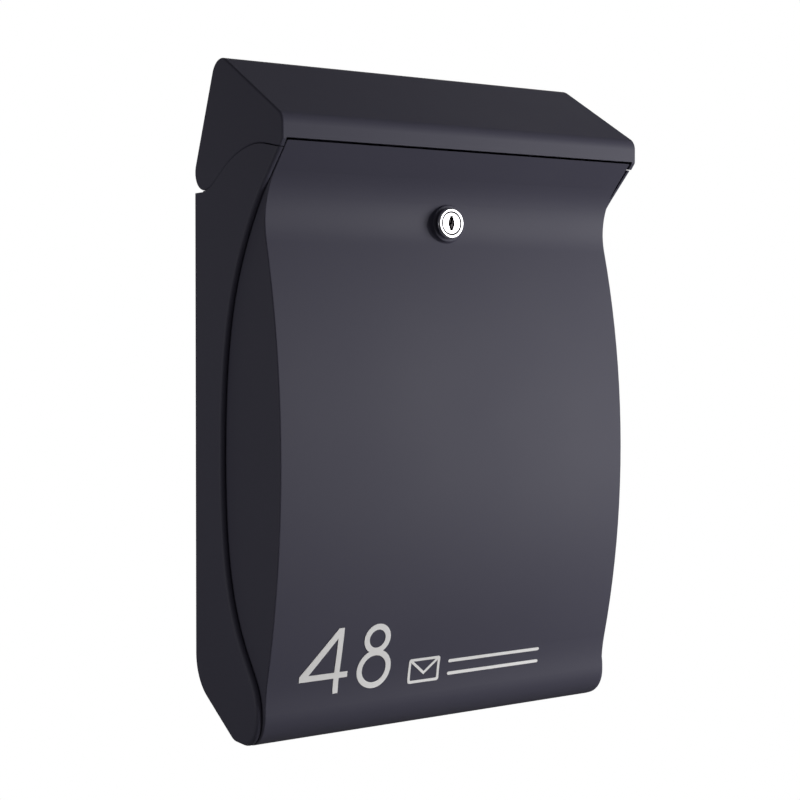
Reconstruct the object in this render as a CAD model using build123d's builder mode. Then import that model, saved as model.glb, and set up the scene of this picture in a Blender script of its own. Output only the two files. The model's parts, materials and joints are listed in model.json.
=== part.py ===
from build123d import *
import os
from math import cos, radians, sin, tan

# Wall mounted mailbox, millimetres. X runs across, +Y points into the wall, +Z is up.
# The back lies on Y = 0. The origin is the centre of the four wall screws, ORIGIN_HEIGHT above
# the lowest point. Profiles are drawn on two planes whose own origin is at that lowest point,
# so every (depth, height) or (across, height) pair below is a height above the bottom.

ORIGIN_HEIGHT = 185.0
SIDE = Plane(origin=(0, 0, -ORIGIN_HEIGHT), x_dir=(0, 1, 0), z_dir=(1, 0, 0))
FRONT = Plane(origin=(0, 0, -ORIGIN_HEIGHT), x_dir=(1, 0, 0), z_dir=(0, -1, 0))

# Overall sizes
WIDTH = 261.5
DEPTH = 110.0
CHEEK = 3.2  # body side wall
WALL = 2.6  # other moulded walls
GAP = 0.6  # shadow gap between door and cheek
SPLIT = 0.45  # seam between lid and body
HALF = WIDTH / 2
BODY_IN = HALF - CHEEK
DOOR_HALF = BODY_IN - GAP
DOOR_IN = DOOR_HALF - 2.5

# Body side profile
BACK_TOP = 327.4
FLOOR_CORNER = 28.0
FLOOR_ANGLE = 29.4
CHIN_DEPTH = 79.6
RIM_FOOT = (-79.6, 21.0)
RIM_CURVE = [
    (-76.7, 33.4),
    (-67.0, 47.5),
    (-53.6, 66.5),
    (-44.6, 86.6),
    (-38.3, 113.0),
    (-34.8, 165.0),
    (-38.6, 226.0),
    (-49.5, 268.5),
    (-68.0, 303.5),
]
RIM_SHOULDER = (-88.5, 329.2)
RIM_TOP = (-106.2, 346.9)
FLOOR_FRONT = -52.5

# Lid
LID_PIVOT = (-12.5, 340.0)
LID_LOBE = 11.5
LID_LEAN = 22.6  # rear edge, from upright
ROLL_END = 60.0  # how far the rear wall rolls under the pivot
ROOF_ANGLE = 30.0
ROOF_FRONT = 364.5
LID_WALL = 2.8
LID_CHEEK = 3.0
LIP_BOTTOM = 351.7
LID_IN = HALF - LID_CHEEK
LID_SWEEP = [(-20.8, 329.7), (-28.8, 333.6), (-47.2, 343.9), (-65.1, 349.4), (-82.3, 350.9)]
LID_SWEEP_END = (-106.5, 347.0)
LID_SWEEP_ENDS = [(1, 0.12), (1, 0)]  # directions of the lower edge at its two ends

# Door face: arcs that follow each other tangentially, starting from the valley under the slope
VALLEY = (-82.6, 306.0)
VALLEY_R = 41.6
SLOPE = 43.4  # top flare of the door, from upright
BULGE_TOP = 15.0
BULGE_FOOT = 14.6
BULGE_R = 495.8
FLARE_R = 85.3
CURL_R = 20.5
CURL_SWEEP = 112.0
DOOR_TOP = 350.4
DOOR_PIVOT = (-61.6, 20.5)
FLANGE_LAP = 9.0  # door side flange behind the rim

# Lock, on an axis along Y
LOCK_HEIGHT = 309.0
LOCK_FACE = -89.2
RING_R = 9.6
RING_THICK = 3.2
BARREL_R = 7.9
BARREL_FLATS = 13.8
PLUG_R = 5.5
PLUG_FACE_R = 6.95
RING_GROOVE = 0.25  # groove between the ring and the plug face
BARREL_BACK = -70.0
BOSS_R = 11.8
SEAT_BACK = -78.6
FIT = 0.05

# Wall screws
SCREWS_X = 160.0
SCREWS_Z = 180.0
SCREW_HOLE_R = 2.6

# Keeper rail behind the top of the door
RAIL_FRONT = -72.5
RAIL_BACK = -56.0
RAIL_LOW = 322.0
RAIL_HIGH = 342.0
RAIL_SHEET = 1.5
RAIL_END = 122.0  # half length
RAIL_SCREW_X = 118.0
PAD_IN = 112.0  # inner side of the pads under the rail's ends
BUFFER_X = 100.0  # lid buffers
BUFFER_Y = -64.0

# Door inside
RIB_HEIGHTS = (60, 110, 160, 210, 260)
RIB_THICK = 2.0
DOOR_BUFFERS = [(-92, 331 - ORIGIN_HEIGHT), (92, 331 - ORIGIN_HEIGHT)]
BUFFER_SEAT = 77.0  # distance of the door buffers' seat from the wall
LUG_IN = 113.6  # inner side of the hinge lugs

# Pins and the ears that carry the lid pins
LID_PIN_R = 2.0
DOOR_PIN_R = 2.5
EAR_IN = 116.5
EAR_OUT = 121.1
LID_BOSS_IN = EAR_OUT + 0.4
LID_PIN_INNER = 113.5
LID_PIN_OUTER = 127.5
DOOR_PIN_INNER = 111.0
DOOR_PIN_OUTER = BODY_IN + 2.2

os.makedirs("parts", exist_ok=True)


def save(part, label):
    part.label = label
    export_step(part, f"parts/{label}.step")


def along_y(depth):
    """Plane across the lock axis at a depth, facing the front."""
    return Plane(origin=(0, depth, LOCK_HEIGHT - ORIGIN_HEIGHT), x_dir=(1, 0, 0), z_dir=(0, -1, 0))


def across(x, centre):
    """Plane square to X, centred on a (depth, height) point."""
    return Plane(origin=(x, centre[0], centre[1] - ORIGIN_HEIGHT), x_dir=(0, 1, 0), z_dir=(1, 0, 0))


def polar(centre, radius, angle):
    return (centre[0] + radius * cos(radians(angle)), centre[1] + radius * sin(radians(angle)))


def shifted(points, across_by, up_by=0.0):
    return [(y + across_by, h + up_by) for y, h in points]


def outline_edges(shapes, x):
    """Edges of the outlines that lie on the two planes at +x and -x."""
    edges = shapes.edges()
    right = edges.filter_by_position(Axis.X, x - 0.01, x + 0.01)
    left = edges.filter_by_position(Axis.X, -x - 0.01, -x + 0.01)
    return right + left


def height(edge):
    return edge.center().Z + ORIGIN_HEIGHT


# ---------------------------------------------------------------- lid

roof_slope = tan(radians(ROOF_ANGLE))
lean = radians(LID_LEAN)


def lid_corners(inset):
    """Foot, ridge and fold points of the lid's outer lines, moved inwards by inset."""
    foot = polar(LID_PIVOT, LID_LOBE - inset, LID_LEAN)
    roof_at_front = ROOF_FRONT - inset / cos(radians(ROOF_ANGLE))
    roof_over_foot = roof_at_front + (foot[0] + DEPTH) * roof_slope
    climb = (roof_over_foot - foot[1]) / (cos(lean) + sin(lean) * roof_slope)
    ridge = (foot[0] - climb * sin(lean), foot[1] + climb * cos(lean))
    fold = (inset - DEPTH, roof_at_front + inset * roof_slope)
    return foot, ridge, fold


with BuildSketch(SIDE) as lid_outline:
    with BuildLine():
        lid_foot, lid_ridge, lid_fold = lid_corners(0)
        lid_lip = (-DEPTH, 351.0)
        FilletPolyline(lid_foot, lid_ridge, lid_fold, lid_lip, LID_SWEEP_END, radius=[12, 8, 2])
        sweep_end = polar(LID_PIVOT, LID_LOBE, -90)
        sweep = [LID_SWEEP_END, *reversed(LID_SWEEP), sweep_end]
        Spline(*sweep, tangents=LID_SWEEP_ENDS, tangent_scalars=[1, 1])
        CenterArc(LID_PIVOT, LID_LOBE, -90, 90 + LID_LEAN)
    make_face()

with BuildSketch(SIDE) as lid_inside:
    with BuildLine():
        in_foot, in_ridge, in_fold = lid_corners(LID_WALL)
        roll = CenterArc(LID_PIVOT, LID_LOBE - LID_WALL, -ROLL_END, ROLL_END + LID_LEAN)
        in_lip = (LID_WALL - DEPTH, LIP_BOTTOM)
        FilletPolyline(in_foot, in_ridge, in_fold, in_lip, radius=[9, 5])
        roll_gate = polar(LID_PIVOT, 25, -ROLL_END)
        Polyline(in_lip, (-DEPTH - 5, LIP_BOTTOM), (-DEPTH - 5, 300), (20, 300), roll_gate, roll @ 0)
    make_face()

# Room for the lid: its lower edge and lobe, moved outwards by the seam, and everything above
with BuildSketch(SIDE) as lid_clearance:
    with BuildLine():
        seam_end = (LID_SWEEP_END[0], LID_SWEEP_END[1] - SPLIT)
        seam_curve = shifted(LID_SWEEP, 0, -SPLIT)
        lobe_low = polar(LID_PIVOT, LID_LOBE + SPLIT, -90)
        seam = [seam_end, *reversed(seam_curve), lobe_low]
        Spline(*seam, tangents=LID_SWEEP_ENDS, tangent_scalars=[1, 1])
        lobe = CenterArc(LID_PIVOT, LID_LOBE + SPLIT, -90, 90)
        Polyline(lobe @ 1, ((lobe @ 1).X, 420), (-DEPTH - 5, 420), (-DEPTH - 5, seam_end[1]), seam_end)
    make_face()

with BuildPart() as lid_shell:
    extrude(lid_outline.sketch, amount=HALF, both=True)
    sides = outline_edges(lid_shell, HALF)
    fillet(sides.filter_by(lambda e: height(e) > 351.2), radius=1.2)
    extrude(lid_inside.sketch, amount=LID_IN, both=True, mode=Mode.SUBTRACT)
    # Ribs that stand on the rubber buffers of the keeper rail
    for x in (-BUFFER_X, BUFFER_X):
        with BuildSketch(SIDE.offset(x)):
            with BuildLine():
                Polyline(
                    (BUFFER_Y - 12, 366),
                    (BUFFER_Y - 5, 350.3),
                    (BUFFER_Y + 5, 350.3),
                    (BUFFER_Y + 16, 366),
                    (BUFFER_Y + 16, 398.5),
                    (BUFFER_Y - 12, 382.5),
                    close=True,
                )
            make_face()
        extrude(amount=1.2, both=True)
    # Pivot bosses inside the cheeks
    for side in (-1, 1):
        with BuildSketch(across(side * LID_IN, LID_PIVOT)):
            Circle(6)
        extrude(amount=-side * (LID_IN - LID_BOSS_IN))
        with BuildSketch(across(side * LID_BOSS_IN, LID_PIVOT)):
            Circle(LID_PIN_R + FIT)
        extrude(amount=side * (LID_PIN_OUTER + 0.3 - LID_BOSS_IN), mode=Mode.SUBTRACT)
save(lid_shell.part, "lid_shell")

# ---------------------------------------------------------------- body

floor_slope = tan(radians(FLOOR_ANGLE))
floor_run = FLOOR_CORNER / floor_slope
floor_lift = WALL / cos(radians(FLOOR_ANGLE))

with BuildSketch(SIDE) as body_outline:
    with BuildLine():
        FilletPolyline(
            (0, BACK_TOP),
            (0, FLOOR_CORNER),
            (-floor_run, 0),
            (-CHIN_DEPTH, 0),
            RIM_FOOT,
            radius=[29, 11, 18],
        )
        Spline(RIM_FOOT, *RIM_CURVE, RIM_SHOULDER, tangents=[(0, 1), (-1, 1)], tangent_scalars=[1, 1])
        above_seam = 355
        Polyline(
            RIM_SHOULDER,
            RIM_TOP,
            (RIM_TOP[0], above_seam),
            (LID_PIVOT[0], above_seam),
            (LID_PIVOT[0], BACK_TOP),
            (0, BACK_TOP),
        )
    make_face()

with BuildSketch(SIDE) as body_inside:
    with BuildLine():
        floor_end = FLOOR_CORNER + FLOOR_FRONT * floor_slope + floor_lift
        inner_corner = (-WALL, FLOOR_CORNER - WALL * floor_slope + floor_lift)
        FilletPolyline((-WALL, 400), inner_corner, (FLOOR_FRONT, floor_end), radius=26)
        Polyline((FLOOR_FRONT, floor_end), (FLOOR_FRONT, -5), (-130, -5), (-130, 400), (-WALL, 400))
    make_face()

shelf_front = LID_PIVOT[0] - 16
rail_under = RAIL_HIGH - RAIL_SHEET
rail_screws = [(-RAIL_SCREW_X, BUFFER_Y), (RAIL_SCREW_X, BUFFER_Y)]

with BuildPart() as body_shell:
    extrude(body_outline.sketch, amount=HALF, both=True)
    outer = outline_edges(body_shell, HALF)
    rear = outer.filter_by(lambda e: e.center().Y > -14 and height(e) > 100)
    fillet(outer.filter_by(lambda e: height(e) < 345) - rear, radius=2.4)
    extrude(body_inside.sketch, amount=BODY_IN, both=True, mode=Mode.SUBTRACT)
    extrude(lid_clearance.sketch, amount=HALF + 1, both=True, mode=Mode.SUBTRACT)
    # Shelf and rain upstand under the lid's rear roll
    with BuildSketch(SIDE):
        with BuildLine():
            Polyline(
                (-0.5, BACK_TOP - WALL),
                (-0.5, BACK_TOP),
                (shelf_front + WALL, BACK_TOP),
                (shelf_front + WALL, 343),
                (shelf_front, 343),
                (shelf_front, BACK_TOP - WALL),
                close=True,
            )
        make_face()
    extrude(amount=BODY_IN, both=True)
    for side in (-1, 1):
        # Side upstand that laps inside the lid cheek
        with BuildSketch(SIDE.offset(side * (BODY_IN - 3))):
            with BuildLine():
                lap_top = shifted(LID_SWEEP[1:4], 0, 7.5)
                Polyline(
                    lap_top[2],
                    (lap_top[2][0], 338),
                    (shelf_front, 325),
                    lap_top[0],
                )
                Spline(*lap_top)
            make_face()
        extrude(amount=side * 3)
        # Hinge ear for the lid pin
        with BuildSketch(SIDE.offset(side * EAR_IN)):
            with Locations(LID_PIVOT):
                Circle(8)
            with Locations((LID_PIVOT[0] - 4, LID_PIVOT[1] - 7)):
                Rectangle(8, 14)
        extrude(amount=side * (EAR_OUT - EAR_IN))
        with BuildSketch(across(side * EAR_IN, LID_PIVOT)):
            Circle(LID_PIN_R)
        extrude(amount=side * 10, mode=Mode.SUBTRACT)
        # Pad that carries the keeper rail
        with BuildSketch(SIDE.offset(side * PAD_IN)):
            with BuildLine():
                Polyline((-70.5, rail_under), (-70.5, 326), (-57, 318), (-57, rail_under), close=True)
            make_face()
        extrude(amount=side * (BODY_IN - PAD_IN))
        # Blind socket for the door pin in the cheek
        with BuildSketch(across(side * (BODY_IN - 1), DOOR_PIVOT)):
            Circle(DOOR_PIN_R)
        extrude(amount=side * 3.3, mode=Mode.SUBTRACT)
    # Pads and holes of the four wall screws
    with BuildSketch(Plane.XZ.offset(WALL - 0.2)):
        with GridLocations(SCREWS_X, SCREWS_Z, 2, 2):
            Circle(8)
    extrude(amount=1.6)
    with BuildSketch(Plane.XZ):
        with GridLocations(SCREWS_X, SCREWS_Z, 2, 2):
            Circle(SCREW_HOLE_R)
    extrude(amount=8, both=True, mode=Mode.SUBTRACT)
    # Pilot holes for the rail screws
    with BuildSketch(Plane.XY.offset(rail_under - ORIGIN_HEIGHT)):
        with Locations(*rail_screws):
            Circle(1.75)
    extrude(amount=-12, mode=Mode.SUBTRACT)
    # Drain holes in the floor
    with BuildSketch(Plane.XY.offset(-ORIGIN_HEIGHT - 1)):
        with Locations((-70, -42), (70, -42)):
            Circle(2.5)
    extrude(amount=16, mode=Mode.SUBTRACT)
save(body_shell.part, "body_shell")

# ---------------------------------------------------------------- keeper rail

with BuildPart() as catch_rail:
    with BuildSketch(SIDE):
        with BuildLine():
            Polyline(
                (RAIL_FRONT, RAIL_LOW),
                (RAIL_FRONT, RAIL_HIGH),
                (RAIL_BACK, RAIL_HIGH),
                (RAIL_BACK, rail_under),
                (RAIL_FRONT + RAIL_SHEET, rail_under),
                (RAIL_FRONT + RAIL_SHEET, RAIL_LOW),
                close=True,
            )
        make_face()
    extrude(amount=RAIL_END, both=True)
    bend = catch_rail.edges().filter_by(Axis.X)
    fillet(bend.group_by(Axis.Z)[-1].sort_by(Axis.Y)[0], radius=1.4)
    with BuildSketch(Plane.XY.offset(RAIL_HIGH - ORIGIN_HEIGHT)):
        with Locations(*rail_screws):
            Circle(2.2)
        with Locations((-BUFFER_X, BUFFER_Y), (BUFFER_X, BUFFER_Y)):
            Circle(2.5)
    extrude(amount=-3, mode=Mode.SUBTRACT)
save(catch_rail.part, "catch_rail")

with BuildPart() as catch_rail_screws:
    with BuildSketch(Plane.XY.offset(RAIL_HIGH - ORIGIN_HEIGHT)):
        with Locations(*rail_screws):
            Circle(3.6)
    extrude(amount=2.4)
    with BuildSketch(Plane.XY.offset(RAIL_HIGH - ORIGIN_HEIGHT)):
        with Locations(*rail_screws):
            Circle(1.7)
    extrude(amount=-12)
    fillet(catch_rail_screws.edges().group_by(Axis.Z)[-1], radius=1.2)
    with BuildSketch(Plane.XY.offset(RAIL_HIGH + 2.4 - ORIGIN_HEIGHT)):
        with Locations(*rail_screws):
            Rectangle(3.8, 0.8)
            Rectangle(0.8, 3.8)
    extrude(amount=-1.2, mode=Mode.SUBTRACT)
save(catch_rail_screws.part, "catch_rail_screws")

with BuildPart() as lid_buffers:
    base = RAIL_HIGH - ORIGIN_HEIGHT
    under = base - RAIL_SHEET
    for x in (-BUFFER_X, BUFFER_X):
        with BuildSketch(Plane.XZ.offset(-BUFFER_Y)):
            with BuildLine():
                Polyline(
                    (x + 4.2, base + 6),
                    (x + 5, base),
                    (x + 2.45, base),
                    (x + 2.45, under),
                    (x + 3.2, under),
                    (x + 2.4, under - 2.5),
                    (x, under - 2.5),
                    (x, base + 8),
                )
                ThreePointArc((x, base + 8), (x + 2.5, base + 7.4), (x + 4.2, base + 6))
            make_face()
        revolve(axis=Axis((x, BUFFER_Y, 0), (0, 0, 1)))
save(lid_buffers.part, "lid_buffers")

# ---------------------------------------------------------------- hinge pins


def hinge_pin(centre, radius, inner, outer):
    """Steel pin along X with chamfered ends."""
    with BuildPart() as pin:
        with BuildSketch(across(inner, centre)):
            Circle(radius)
        extrude(amount=outer - inner)
        chamfer(pin.edges().filter_by(GeomType.CIRCLE), length=0.4)
    return pin.part


def push_washers(centre, radius, inner, thickness):
    """Pair of spring steel push washers, gripping the pins' inner ends."""
    with BuildPart() as washers:
        for side in (-1, 1):
            with BuildSketch(across(side * inner, centre)):
                Circle(radius * 2.1)
                Circle(radius, mode=Mode.SUBTRACT)
                with PolarLocations(radius + 0.6, 4, start_angle=45):
                    Rectangle(1.6, 0.6, mode=Mode.SUBTRACT)
            extrude(amount=side * thickness)
    return washers.part


save(hinge_pin(LID_PIVOT, LID_PIN_R, -LID_PIN_OUTER, -LID_PIN_INNER), "lid_hinge_pin_left")
save(hinge_pin(LID_PIVOT, LID_PIN_R, LID_PIN_INNER, LID_PIN_OUTER), "lid_hinge_pin_right")
save(push_washers(LID_PIVOT, LID_PIN_R, EAR_IN - 0.9, 0.8), "lid_pin_washers")
save(hinge_pin(DOOR_PIVOT, DOOR_PIN_R, -DOOR_PIN_OUTER, -DOOR_PIN_INNER), "door_hinge_pin_left")
save(hinge_pin(DOOR_PIVOT, DOOR_PIN_R, DOOR_PIN_INNER, DOOR_PIN_OUTER), "door_hinge_pin_right")
save(push_washers(DOOR_PIVOT, DOOR_PIN_R, LUG_IN - 1.2, 0.8), "door_pin_washers")

# ---------------------------------------------------------------- door


ring_back = LOCK_FACE + RING_THICK


def door_face(inset, top, sweep):
    """Side line of the door face, moved inwards by inset. Returns its top and its end."""
    start = (VALLEY[0] + inset, VALLEY[1])
    rise = JernArc(start, (0, 1), VALLEY_R + inset, SLOPE)
    slope_length = (top - (rise @ 1).Y) / cos(radians(SLOPE))
    slope = PolarLine(rise @ 1, slope_length, direction=rise % 1)
    fall = JernArc(start, (0, -1), VALLEY_R + inset, -BULGE_TOP)
    bulge = JernArc(fall @ 1, fall % 1, BULGE_R - inset, BULGE_TOP + BULGE_FOOT)
    flare = JernArc(bulge @ 1, bulge % 1, FLARE_R + inset, -BULGE_FOOT)
    curl = JernArc(flare @ 1, flare % 1, CURL_R - inset, sweep)
    return slope @ 1, curl @ 1


def behind_face(inset, top):
    """Everything behind the door face line, down to the open end of the bottom curl."""
    with BuildSketch(SIDE) as region:
        with BuildLine():
            high, low = door_face(inset, top, CURL_SWEEP)
            Polyline(high, (0, top), (0, -10), polar(DOOR_PIVOT, 26, 180 + CURL_SWEEP), low)
        make_face()
    return region.sketch


with BuildSketch(SIDE) as door_outline:
    with BuildLine():
        door_high, door_low = door_face(0, DOOR_TOP, 180)
        flange_curve = shifted(RIM_CURVE[3:], FLANGE_LAP)
        shoulder = (RIM_SHOULDER[0] + FLANGE_LAP, RIM_SHOULDER[1])
        Spline(door_low, *flange_curve, shoulder, tangents=[(0, 1), (-1, 1)], tangent_scalars=[1, 1])
        corner = (shoulder[0] + shoulder[1] - DOOR_TOP, DOOR_TOP)
        Polyline(shoulder, corner, door_high)
    make_face()

with BuildPart(mode=Mode.PRIVATE) as door_ribs:
    extrude(behind_face(WALL - 0.3, DOOR_TOP - 12), amount=DOOR_IN, both=True)
    extrude(behind_face(8, DOOR_TOP), amount=DOOR_IN, both=True, mode=Mode.SUBTRACT)
    with BuildSketch(SIDE):
        with Locations(*[(-80, h) for h in RIB_HEIGHTS]):
            Rectangle(80, RIB_THICK)
    extrude(amount=DOOR_IN, both=True, mode=Mode.INTERSECT)

# Posts for the rubber buffers, ending on the back of the sloping top
with BuildPart(mode=Mode.PRIVATE) as buffer_posts:
    extrude(behind_face(WALL - 0.3, DOOR_TOP - 1), amount=DOOR_IN, both=True)
    with BuildSketch(Plane.XZ.offset(BUFFER_SEAT)):
        with Locations(*DOOR_BUFFERS):
            Circle(5)
    posts = extrude(amount=40, mode=Mode.PRIVATE)
    add(posts, mode=Mode.INTERSECT)

with BuildPart() as door_panel:
    extrude(door_outline.sketch, amount=DOOR_HALF, both=True)
    fillet(outline_edges(door_panel, DOOR_HALF), radius=0.9)
    extrude(behind_face(WALL, DOOR_TOP - WALL), amount=DOOR_IN, both=True, mode=Mode.SUBTRACT)
    add(door_ribs.part)
    add(buffer_posts.part)
    with BuildSketch(Plane.XZ.offset(BUFFER_SEAT)):
        with Locations(*DOOR_BUFFERS):
            Circle(2)
    extrude(amount=6, mode=Mode.SUBTRACT)
    # Raised lock boss that flares into the face, with a flat seat behind
    with BuildSketch(Plane.XY.offset(LOCK_HEIGHT - ORIGIN_HEIGHT)):
        with BuildLine():
            Polyline((0, SEAT_BACK), (16, SEAT_BACK), (16, -82.2))
            crown = (BOSS_R - 0.3, ring_back + 0.8)
            flank = [(16, -82.2), (BOSS_R + 0.6, -83.6), crown]
            Spline(*flank, tangents=[(-1, 0), (-0.1, -1)], tangent_scalars=[1, 1])
            RadiusArc(crown, (BOSS_R - 1.2, ring_back), 0.9)
            Polyline((BOSS_R - 1.2, ring_back), (0, ring_back), (0, SEAT_BACK))
        make_face()
    revolve(axis=Axis((0, 0, LOCK_HEIGHT - ORIGIN_HEIGHT), (0, 1, 0)), revolution_arc=360)
    with BuildSketch(along_y(-60)):
        Circle(BARREL_R + FIT)
        Rectangle(30, BARREL_FLATS + 2 * FIT, mode=Mode.INTERSECT)
    extrude(amount=40, mode=Mode.SUBTRACT)
    for side in (-1, 1):
        # Hinge lug and pin bore
        with BuildSketch(across(side * LUG_IN, DOOR_PIVOT)):
            Circle(7)
        extrude(amount=side * (DOOR_HALF - LUG_IN))
        with BuildSketch(across(side * (LUG_IN - 1), DOOR_PIVOT)):
            Circle(DOOR_PIN_R + FIT)
        extrude(amount=side * 16, mode=Mode.SUBTRACT)
save(door_panel.part, "door_panel")

with BuildPart() as door_buffers:
    with BuildSketch(Plane.XZ.offset(BUFFER_SEAT)):
        with Locations(*DOOR_BUFFERS):
            Circle(4.8)
    extrude(amount=-(BUFFER_SEAT + RAIL_FRONT - 0.3))
    fillet(door_buffers.edges().group_by(Axis.Y)[-1], radius=1.4)
    with BuildSketch(Plane.XZ.offset(BUFFER_SEAT)):
        with Locations(*DOOR_BUFFERS):
            Circle(1.95)
    extrude(amount=5)
save(door_buffers.part, "door_buffers")

# ---------------------------------------------------------------- lettering film on the door

FILM = 0.25
DIGIT_FOOT = 28.5
DIGIT_TALL = 40.0
STROKE = 3.6

with BuildSketch(SIDE) as film_section:
    add(door_outline.sketch_local)
    offset(amount=FILM)
    add(door_outline.sketch_local, mode=Mode.SUBTRACT)


def film(outline, label):
    """Thin film cut to an outline seen from the front, lying on the door face."""
    with BuildPart() as sticker:
        extrude(film_section.sketch, amount=DOOR_HALF - 3, both=True)
        extrude(outline, amount=60, mode=Mode.INTERSECT)
    save(sticker.part, label)


with BuildSketch(FRONT.offset(60)) as digit_four:
    with Locations((-80, DIGIT_FOOT + DIGIT_TALL / 2)):
        Rectangle(STROKE, DIGIT_TALL)
    with Locations((-89, DIGIT_FOOT + 11)):
        Rectangle(33, STROKE)
    with BuildLine():
        Polyline(
            (-81.8, DIGIT_FOOT + DIGIT_TALL),
            (-105.5, DIGIT_FOOT + 11 + STROKE / 2),
            (-105.5, DIGIT_FOOT + 11 - STROKE / 2),
            (-101, DIGIT_FOOT + 11),
            (-81.8, DIGIT_FOOT + DIGIT_TALL - 6),
            close=True,
        )
    make_face()

with BuildSketch(FRONT.offset(60)) as digit_eight:
    with Locations((-54, DIGIT_FOOT + 12)):
        Circle(12)
        Circle(12 - STROKE, mode=Mode.SUBTRACT)
    with Locations((-54, DIGIT_FOOT + DIGIT_TALL - 9.2)):
        Circle(9.2)
        Circle(9.2 - STROKE, mode=Mode.SUBTRACT)

with BuildSketch(FRONT.offset(60)) as envelope:
    with Locations((-17, 35.5)):
        RectangleRounded(23, 15.5, 1.6)
        RectangleRounded(19.6, 12.1, 0.8, mode=Mode.SUBTRACT)
    with BuildLine():
        Polyline((-27, 42), (-17, 33.6), (-7, 42))
    trace(line_width=1.6)

with BuildSketch(FRONT.offset(60)) as rules:
    with Locations((36.5, 31), (36.5, 39)):
        SlotOverall(71, 2)

film(digit_four.sketch, "number_digit_left")
film(digit_eight.sketch, "number_digit_right")
film(envelope.sketch, "envelope_emblem")
film(rules.sketch, "emblem_rules")

# ---------------------------------------------------------------- cam lock

WAFER_DEPTHS = [-84.6, -82.4, -80.2, -78.0, -75.8]
WAFER_THICK = 0.8
KEYWAY = 2.4
CAM_THICK = 2.0
CAM_REACH = 27.0
CAM_HOLE = 7.0
cam_back = BARREL_BACK + CAM_THICK

with BuildPart() as lock_housing:
    with BuildSketch(along_y(ring_back)):
        Circle(RING_R)
    extrude(amount=RING_THICK)
    fillet(lock_housing.edges().group_by(Axis.Y)[0], radius=1.3)
    with BuildSketch(along_y(BARREL_BACK)):
        Circle(BARREL_R)
        Rectangle(30, BARREL_FLATS, mode=Mode.INTERSECT)
    extrude(amount=BARREL_BACK - ring_back)
    with BuildSketch(along_y(LOCK_FACE + 2)):
        Circle(PLUG_FACE_R + RING_GROOVE)
    extrude(amount=4, mode=Mode.SUBTRACT)
    with BuildSketch(along_y(BARREL_BACK + 1)):
        Circle(PLUG_R + FIT)
    extrude(amount=25, mode=Mode.SUBTRACT)
save(lock_housing.part, "lock_housing")

with BuildPart() as lock_plug:
    with BuildSketch(along_y(LOCK_FACE + 1.95)):
        Circle(PLUG_FACE_R)
    extrude(amount=1.75)
    fillet(lock_plug.edges().group_by(Axis.Y)[0], radius=0.5)
    with BuildSketch(along_y(BARREL_BACK)):
        Circle(PLUG_R)
    extrude(amount=BARREL_BACK - LOCK_FACE - 1.5)
    # Square end that carries the cam
    with BuildSketch(along_y(BARREL_BACK + CAM_THICK - 0.05)):
        Rectangle(CAM_HOLE - 2 * FIT, CAM_HOLE - 2 * FIT)
    extrude(amount=CAM_THICK)
    with BuildSketch(along_y(BARREL_BACK + 3)):
        Circle(1.95)
    extrude(amount=9, mode=Mode.SUBTRACT)
    # Keyway with one ward step
    with BuildSketch(along_y(-73.5)):
        Rectangle(KEYWAY, 8.6)
        with Locations((-0.75, 1.6), (0.75, -1.6)):
            Rectangle(KEYWAY / 2, 2.2, mode=Mode.SUBTRACT)
    extrude(amount=20, mode=Mode.SUBTRACT)
    # Stepped mouth of the keyhole
    with BuildSketch(along_y(LOCK_FACE + 1.1)):
        Rectangle(2.4, 9.2)
        Rectangle(3.6, 6.6)
        Rectangle(4.8, 3.6)
    extrude(amount=2, mode=Mode.SUBTRACT)
    for depth in WAFER_DEPTHS:
        with BuildSketch(along_y(depth + WAFER_THICK / 2 + 0.05)):
            Rectangle(5.1, 20)
        extrude(amount=WAFER_THICK + 0.1, mode=Mode.SUBTRACT)
        # Pocket for the wafer's spring, beside the slot
        with BuildSketch(Plane.XY.offset(LOCK_HEIGHT - 1.5 - ORIGIN_HEIGHT)):
            with Locations((3.6, depth)):
                Circle(0.7)
        extrude(amount=3, mode=Mode.SUBTRACT)
save(lock_plug.part, "lock_plug")

with BuildPart() as lock_wafers:
    for depth in WAFER_DEPTHS:
        with BuildSketch(along_y(depth + WAFER_THICK / 2)):
            Rectangle(5, 9.4)
            Rectangle(2.6, 6.8, mode=Mode.SUBTRACT)
        extrude(amount=WAFER_THICK)
save(lock_wafers.part, "lock_wafers")

with BuildPart() as wafer_springs:
    for depth in WAFER_DEPTHS:
        with BuildSketch(Plane.XY.offset(LOCK_HEIGHT - 1.3 - ORIGIN_HEIGHT)):
            with Locations((3.6, depth)):
                Circle(0.6)
                Circle(0.35, mode=Mode.SUBTRACT)
        extrude(amount=2.6)
save(wafer_springs.part, "wafer_springs")

with BuildPart() as lock_washer:
    with BuildSketch(along_y(SEAT_BACK + 0.8)):
        Circle(12)
        with PolarLocations(12.3, 16):
            Circle(0.9, mode=Mode.SUBTRACT)
        Circle(BARREL_R + FIT, mode=Mode.SUBTRACT)
    extrude(amount=0.8)
save(lock_washer.part, "lock_washer")

with BuildPart() as lock_nut:
    with BuildSketch(along_y(SEAT_BACK + 3.8)):
        RegularPolygon(11, 6, major_radius=False)
    extrude(amount=3)
    chamfer(lock_nut.edges().group_by(Axis.Y)[-1], length=0.6)
    with BuildSketch(along_y(SEAT_BACK + 3.8)):
        Circle(BARREL_R + FIT)
    extrude(amount=3, mode=Mode.SUBTRACT)
save(lock_nut.part, "lock_nut")

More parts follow.
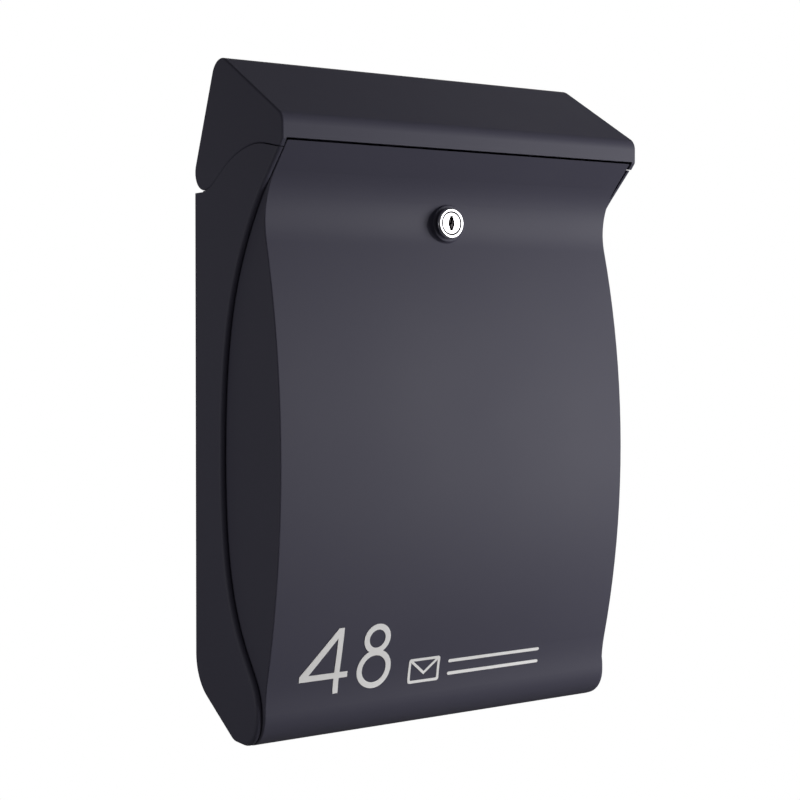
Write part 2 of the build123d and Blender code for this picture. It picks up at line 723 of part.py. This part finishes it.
with BuildPart() as lock_cam:
    with BuildSketch(along_y(BARREL_BACK + CAM_THICK)):
        Circle(8)
        with Locations((-CAM_REACH / 2, 0)):
            Rectangle(CAM_REACH, 14)
        Rectangle(CAM_HOLE, CAM_HOLE, mode=Mode.SUBTRACT)
    extrude(amount=CAM_THICK)
    tip = lock_cam.edges().filter_by(Axis.Y).group_by(Axis.X)[0]
    fillet(tip, radius=3)
save(lock_cam.part, "lock_cam")

with BuildPart() as cam_washer:
    with BuildSketch(along_y(cam_back + 0.8)):
        Circle(5.2)
        Circle(2.1, mode=Mode.SUBTRACT)
    extrude(amount=0.8)
save(cam_washer.part, "cam_washer")

with BuildPart() as cam_screw:
    with BuildSketch(along_y(cam_back + 3.2)):
        Circle(3.8)
    extrude(amount=2.4)
    fillet(cam_screw.edges().group_by(Axis.Y)[-1], radius=1.2)
    with BuildSketch(along_y(cam_back + 0.8)):
        Circle(1.9)
    extrude(amount=6)
    with BuildSketch(along_y(cam_back + 3.3)):
        Rectangle(4, 0.9)
        Rectangle(0.9, 4)
    extrude(amount=1.3, mode=Mode.SUBTRACT)
save(cam_screw.part, "cam_screw")
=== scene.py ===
import json
import math

import bpy
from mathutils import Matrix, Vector


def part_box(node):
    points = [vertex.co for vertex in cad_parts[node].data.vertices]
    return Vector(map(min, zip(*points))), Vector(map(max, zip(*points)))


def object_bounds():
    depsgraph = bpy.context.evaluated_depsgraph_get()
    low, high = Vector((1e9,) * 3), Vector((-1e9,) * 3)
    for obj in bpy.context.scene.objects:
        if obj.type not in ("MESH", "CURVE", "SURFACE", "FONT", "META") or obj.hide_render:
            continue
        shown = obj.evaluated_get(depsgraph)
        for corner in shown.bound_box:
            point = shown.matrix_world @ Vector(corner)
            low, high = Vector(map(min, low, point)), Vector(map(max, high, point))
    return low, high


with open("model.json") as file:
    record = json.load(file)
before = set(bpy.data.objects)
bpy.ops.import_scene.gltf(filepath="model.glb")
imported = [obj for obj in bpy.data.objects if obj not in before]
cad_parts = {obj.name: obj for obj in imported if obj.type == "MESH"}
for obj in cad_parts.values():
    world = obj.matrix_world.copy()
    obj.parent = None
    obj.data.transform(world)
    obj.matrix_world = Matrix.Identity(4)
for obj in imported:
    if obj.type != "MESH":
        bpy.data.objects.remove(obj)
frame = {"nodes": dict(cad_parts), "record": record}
cad_low, cad_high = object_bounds()

# ---------------------------------------------------------------- measures, in metres

CAMERA_PLACE = (-0.5846, -0.9150, 0.2452)  # height is above the lowest point of the mailbox
CAMERA_YAW = 33.5
CAMERA_PITCH = 0.896
CAMERA_LENS = 74.16
CAMERA_SHIFT = -0.0585
CAMERA_REACH = 60.0
SENSOR_WIDTH = 36.0

FLOOR_DROP = 0.9  # from the lowest point of the mailbox down to the floor
FLOOR_HALF = 12.0

PLUG_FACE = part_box("lock_plug")[0].y  # front of the plug, where the keyhole opens
LOCK_AXIS_Z = 0.124

# Where the painted shade on the lock fades in or out
KEYHOLE_SHADE_FADE = (PLUG_FACE + 0.0005, PLUG_FACE + 0.0009)  # along the axis
RING_SHADE_FADE = (0.0074, 0.0077)  # from the axis
PLUG_RIM_SHADE_FADE = (0.0061, 0.0064)

# Brightness of the surroundings
SKY_LEFT = 0.17
SKY_RIGHT = 0.8
SKY_BELOW = 0.9
SKY_ABOVE = 0.2
SKY_TINT = (0.97, 0.95, 1.0, 1)

# ---------------------------------------------------------------- colours

ANTHRACITE_DARK = (0.060, 0.0580, 0.082)
ANTHRACITE_LIGHT = (0.064, 0.0620, 0.087)
VINYL_DARK = (0.86, 0.85, 0.835)
VINYL_LIGHT = (0.9, 0.89, 0.875)
RUBBER_DARK = (0.012, 0.012, 0.012)
RUBBER_LIGHT = (0.03, 0.03, 0.03)
FLOOR_DARK = (0.3, 0.3, 0.3)
FLOOR_LIGHT = (0.33, 0.33, 0.33)
# near black for the painted shade in the lock's keyhole, ring groove and plug rim
PAINTED_SHADE_BLACK = (0.012, 0.011, 0.011, 1)
DULL_METAL = 0.88  # darkest part of a metal against its own colour

NOISE_LOW, NOISE_HIGH = 0.3, 0.7  # noise values that give a range's two ends


# ---------------------------------------------------------------- node helpers


def new_material(name):
    material = bpy.data.materials.new(name)
    material.use_nodes = True
    tree = material.node_tree
    return material, tree, tree.nodes["Principled BSDF"]


def object_noise(tree, scale, detail=2.0, roughness=0.5, stretch=(1, 1, 1)):
    """Noise in the object's own metres. Scale is waves per metre."""
    place = tree.nodes.new("ShaderNodeTexCoord")
    mapping = tree.nodes.new("ShaderNodeMapping")
    mapping.inputs["Scale"].default_value = stretch
    noise = tree.nodes.new("ShaderNodeTexNoise")
    noise.inputs["Scale"].default_value = scale
    noise.inputs["Detail"].default_value = detail
    noise.inputs["Roughness"].default_value = roughness
    tree.links.new(place.outputs["Object"], mapping.inputs["Vector"])
    tree.links.new(mapping.outputs["Vector"], noise.inputs["Vector"])
    return noise.outputs["Fac"]


def link_colour(tree, shader, noise, low, high):
    """Base colour that wanders from low to high with the noise."""
    ramp = tree.nodes.new("ShaderNodeValToRGB")
    ramp.color_ramp.elements[0].position = NOISE_LOW
    ramp.color_ramp.elements[0].color = (*low, 1)
    ramp.color_ramp.elements[1].position = NOISE_HIGH
    ramp.color_ramp.elements[1].color = (*high, 1)
    tree.links.new(noise, ramp.inputs["Fac"])
    tree.links.new(ramp.outputs["Color"], shader.inputs["Base Color"])


def scaled(tree, value, start, end, low, high):
    """Value remapped from start..end to low..high, held at the ends."""
    span = tree.nodes.new("ShaderNodeMapRange")
    span.inputs["From Min"].default_value = start
    span.inputs["From Max"].default_value = end
    span.inputs["To Min"].default_value = low
    span.inputs["To Max"].default_value = high
    tree.links.new(value, span.inputs["Value"])
    return span.outputs["Result"]


def link_roughness(tree, shader, noise, low, high):
    span = scaled(tree, noise, NOISE_LOW, NOISE_HIGH, low, high)
    tree.links.new(span, shader.inputs["Roughness"])


def add_bump(tree, shader, height, strength, distance):
    bump = tree.nodes.new("ShaderNodeBump")
    bump.inputs["Strength"].default_value = strength
    bump.inputs["Distance"].default_value = distance
    tree.links.new(height, bump.inputs["Height"])
    tree.links.new(bump.outputs["Normal"], shader.inputs["Normal"])


def split_by_ray(tree, seen, lit, output):
    """Show the first shader to the camera and use the second for all other light."""
    path = tree.nodes.new("ShaderNodeLightPath")
    mix = tree.nodes.new("ShaderNodeMixShader")
    tree.links.new(path.outputs["Is Camera Ray"], mix.inputs["Fac"])
    tree.links.new(lit, mix.inputs[1])
    tree.links.new(seen, mix.inputs[2])
    tree.links.new(mix.outputs["Shader"], tree.nodes[output].inputs["Surface"])


# ---------------------------------------------------------------- materials


def moulded_plastic(name):
    """Satin moulding: nearly even colour with a faint flow mottle and a very fine grain."""
    material, tree, shader = new_material(name)
    mottle = object_noise(tree, 9, detail=3)
    link_colour(tree, shader, mottle, ANTHRACITE_DARK, ANTHRACITE_LIGHT)
    grain = object_noise(tree, 1500, roughness=0.6)
    link_roughness(tree, shader, mottle, 0.50, 0.58)
    add_bump(tree, shader, grain, 0.25, 0.00003)
    shader.inputs["Specular IOR Level"].default_value = 0.16
    return material


def metal(name, colour, rough, brushed=(1, 1, 1), scale=900, strength=0.08):
    """Metal with fine scratches, closer together along the axes where brushed is large."""
    material, tree, shader = new_material(name)
    lines = object_noise(tree, scale, detail=3, roughness=0.6, stretch=brushed)
    link_colour(tree, shader, lines, tuple(c * DULL_METAL for c in colour), colour)
    link_roughness(tree, shader, lines, *rough)
    shader.inputs["Metallic"].default_value = 1.0
    add_bump(tree, shader, lines, strength, 0.00002)
    return material


def lock_radius(tree):
    """Distance from the axis of the lock, in metres."""
    place = tree.nodes.new("ShaderNodeTexCoord")
    flat = tree.nodes.new("ShaderNodeVectorMath")
    flat.operation = "MULTIPLY_ADD"
    flat.inputs[1].default_value = (1, 0, 1)
    flat.inputs[2].default_value = (0, 0, -LOCK_AXIS_Z)
    tree.links.new(place.outputs["Object"], flat.inputs[0])
    length = tree.nodes.new("ShaderNodeVectorMath")
    length.operation = "LENGTH"
    tree.links.new(flat.outputs["Vector"], length.inputs[0])
    return length.outputs["Value"]


def lock_depth(tree):
    """Place along the axis of the lock, in metres."""
    place = tree.nodes.new("ShaderNodeTexCoord")
    split = tree.nodes.new("ShaderNodeSeparateXYZ")
    tree.links.new(place.outputs["Object"], split.inputs["Vector"])
    return split.outputs["Y"]


def paint_shade(material, mask):
    """Mix near black painted shade over the base colour where the mask is 1."""
    tree = material.node_tree
    shader = tree.nodes["Principled BSDF"]
    plate = shader.inputs["Base Color"].links[0].from_socket
    mix = tree.nodes.new("ShaderNodeMix")
    mix.data_type = "RGBA"
    tree.links.new(mask, mix.inputs["Factor"])
    tree.links.new(plate, mix.inputs["A"])
    mix.inputs["B"].default_value = PAINTED_SHADE_BLACK
    tree.links.new(mix.outputs["Result"], shader.inputs["Base Color"])


def lock_ring(name, colour, rough):
    """Plated ring, with painted shade along the groove around the plug."""
    material = metal(name, colour, rough, scale=500, strength=0.02)
    tree = material.node_tree
    # painted shade: near black within 7.4 mm of the axis, fading out by 7.7 mm
    paint_shade(material, scaled(tree, lock_radius(tree), *RING_SHADE_FADE, 1.0, 0.0))
    return material


def lock_plug(name, colour, rough):
    """Plated plug, with painted shade in the keyhole and at the rim of its face."""
    material = metal(name, colour, rough, brushed=(1, 1, 6), strength=0.04)
    tree = material.node_tree
    # painted shade deep in the keyhole, fading in from 0.5 to 0.9 mm behind the plug's face
    paint_shade(material, scaled(tree, lock_depth(tree), *KEYHOLE_SHADE_FADE, 0.0, 1.0))
    # painted shade at the rim of the plug's face, fading in from 6.1 to 6.4 mm from the axis
    paint_shade(material, scaled(tree, lock_radius(tree), *PLUG_RIM_SHADE_FADE, 0.0, 1.0))
    return material


def rubber(name):
    """Black rubber with a faint bloom."""
    material, tree, shader = new_material(name)
    bloom = object_noise(tree, 400, detail=4)
    link_colour(tree, shader, bloom, RUBBER_DARK, RUBBER_LIGHT)
    link_roughness(tree, shader, bloom, 0.7, 0.85)
    add_bump(tree, shader, bloom, 0.2, 0.00005)
    return material


def vinyl(name):
    """Cut lettering film, light warm grey with a faint orange peel."""
    material, tree, shader = new_material(name)
    peel = object_noise(tree, 700)
    cloud = object_noise(tree, 25)
    link_colour(tree, shader, cloud, VINYL_DARK, VINYL_LIGHT)
    link_roughness(tree, shader, peel, 0.42, 0.5)
    add_bump(tree, shader, peel, 0.15, 0.00002)
    return material


finishes = {
    "anthracite": moulded_plastic("body_plastic"),
    "lid_anthracite": moulded_plastic("lid_plastic"),
    "door_anthracite": moulded_plastic("door_plastic"),
    "lettering": vinyl("lettering_film"),
    "chrome": lock_ring("chrome_plate", (0.62, 0.62, 0.64), (0.05, 0.10)),
    "plug_chrome": lock_plug("plug_plate", (0.60, 0.60, 0.62), (0.12, 0.18)),
    "wafer_brass": metal("wafer_brass", (0.80, 0.60, 0.28), (0.25, 0.4), brushed=(1, 1, 5)),
    "zinc_steel": metal("zinc_plate", (0.24, 0.245, 0.26), (0.45, 0.6), (8, 1, 1), scale=300),
    "zinc_screw": metal("zinc_screw", (0.40, 0.40, 0.41), (0.34, 0.48), scale=700),
    "pin_steel": metal("pin_steel", (0.45, 0.45, 0.47), (0.28, 0.4), (1, 6, 6), scale=500),
    "spring_steel": metal("spring_steel", (0.35, 0.35, 0.37), (0.3, 0.45), scale=700),
    "rubber": rubber("black_rubber"),
}

for subpart in frame["record"]["subparts"]:
    piece = frame["nodes"][subpart["node"]]
    piece.data.materials.clear()
    piece.data.materials.append(finishes[subpart["material_slot"]])


# ---------------------------------------------------------------- floor, light, camera


def add_floor():
    """Floor that is mid grey to the light and plain white to the camera."""
    level = cad_low.z - FLOOR_DROP
    half = FLOOR_HALF
    corners = [(-half, -half), (half, -half), (half, half), (-half, half)]
    mesh = bpy.data.meshes.new("floor")
    mesh.from_pydata([(x, y, level) for x, y in corners], [], [(0, 1, 2, 3)])
    floor = bpy.data.objects.new("floor", mesh)
    bpy.context.scene.collection.objects.link(floor)
    material, tree, shader = new_material("pale_floor")
    link_colour(tree, shader, object_noise(tree, 30, detail=3), FLOOR_DARK, FLOOR_LIGHT)
    shader.inputs["Roughness"].default_value = 0.8
    glow = tree.nodes.new("ShaderNodeEmission")
    split_by_ray(tree, glow.outputs["Emission"], shader.outputs["BSDF"], "Material Output")
    mesh.materials.append(material)


def add_area_light(name, place, size, power):
    """Soft rectangular light that faces the middle of the mailbox."""
    data = bpy.data.lights.new(name, "AREA")
    data.shape = "RECTANGLE"
    data.size, data.size_y = size
    data.energy = power
    light = bpy.data.objects.new(name, data)
    bpy.context.scene.collection.objects.link(light)
    light.location = place
    aim = (cad_low + cad_high) / 2 - Vector(place)
    light.rotation_euler = aim.to_track_quat("-Z", "Y").to_euler()


def add_world():
    """Studio surroundings, brightest low on the right. The camera sees plain white instead."""
    world = bpy.data.worlds.new("studio")
    bpy.context.scene.world = world
    world.use_nodes = True
    tree = world.node_tree
    backdrop = tree.nodes["Background"]
    place = tree.nodes.new("ShaderNodeTexCoord")
    split = tree.nodes.new("ShaderNodeSeparateXYZ")
    tree.links.new(place.outputs["Generated"], split.inputs["Vector"])
    across = scaled(tree, split.outputs["X"], -0.9, 0.7, SKY_LEFT, SKY_RIGHT)
    upward = scaled(tree, split.outputs["Z"], -0.6, 0.7, SKY_BELOW, SKY_ABOVE)
    level = tree.nodes.new("ShaderNodeMath")
    level.operation = "MULTIPLY"
    tree.links.new(across, level.inputs[0])
    tree.links.new(upward, level.inputs[1])
    tree.links.new(level.outputs["Value"], backdrop.inputs["Strength"])
    backdrop.inputs["Color"].default_value = SKY_TINT
    white = tree.nodes.new("ShaderNodeBackground")
    white.inputs["Color"].default_value = (1, 1, 1, 1)
    lit = backdrop.outputs["Background"]
    split_by_ray(tree, white.outputs["Background"], lit, "World Output")


def add_camera():
    data = bpy.data.cameras.new("camera")
    data.lens = CAMERA_LENS
    data.sensor_width = SENSOR_WIDTH
    data.shift_y = CAMERA_SHIFT
    data.clip_end = CAMERA_REACH
    camera = bpy.data.objects.new("camera", data)
    bpy.context.scene.collection.objects.link(camera)
    x, y, height = CAMERA_PLACE
    camera.location = (x, y, cad_low.z + height)
    camera.rotation_euler = (math.radians(90 - CAMERA_PITCH), 0, -math.radians(CAMERA_YAW))
    bpy.context.scene.camera = camera


add_floor()
add_world()
add_camera()
bpy.context.scene.view_settings.view_transform = "Standard"

add_area_light("key", (0.76, -0.82, 0.05), (0.6, 0.8), 11.5)
add_area_light("left_fill", (-0.80, 0.10, -0.05), (0.5, 0.5), 1.2)
add_area_light("back_fill", (0.9, 1.5, 0.5), (1.2, 1.2), 9)
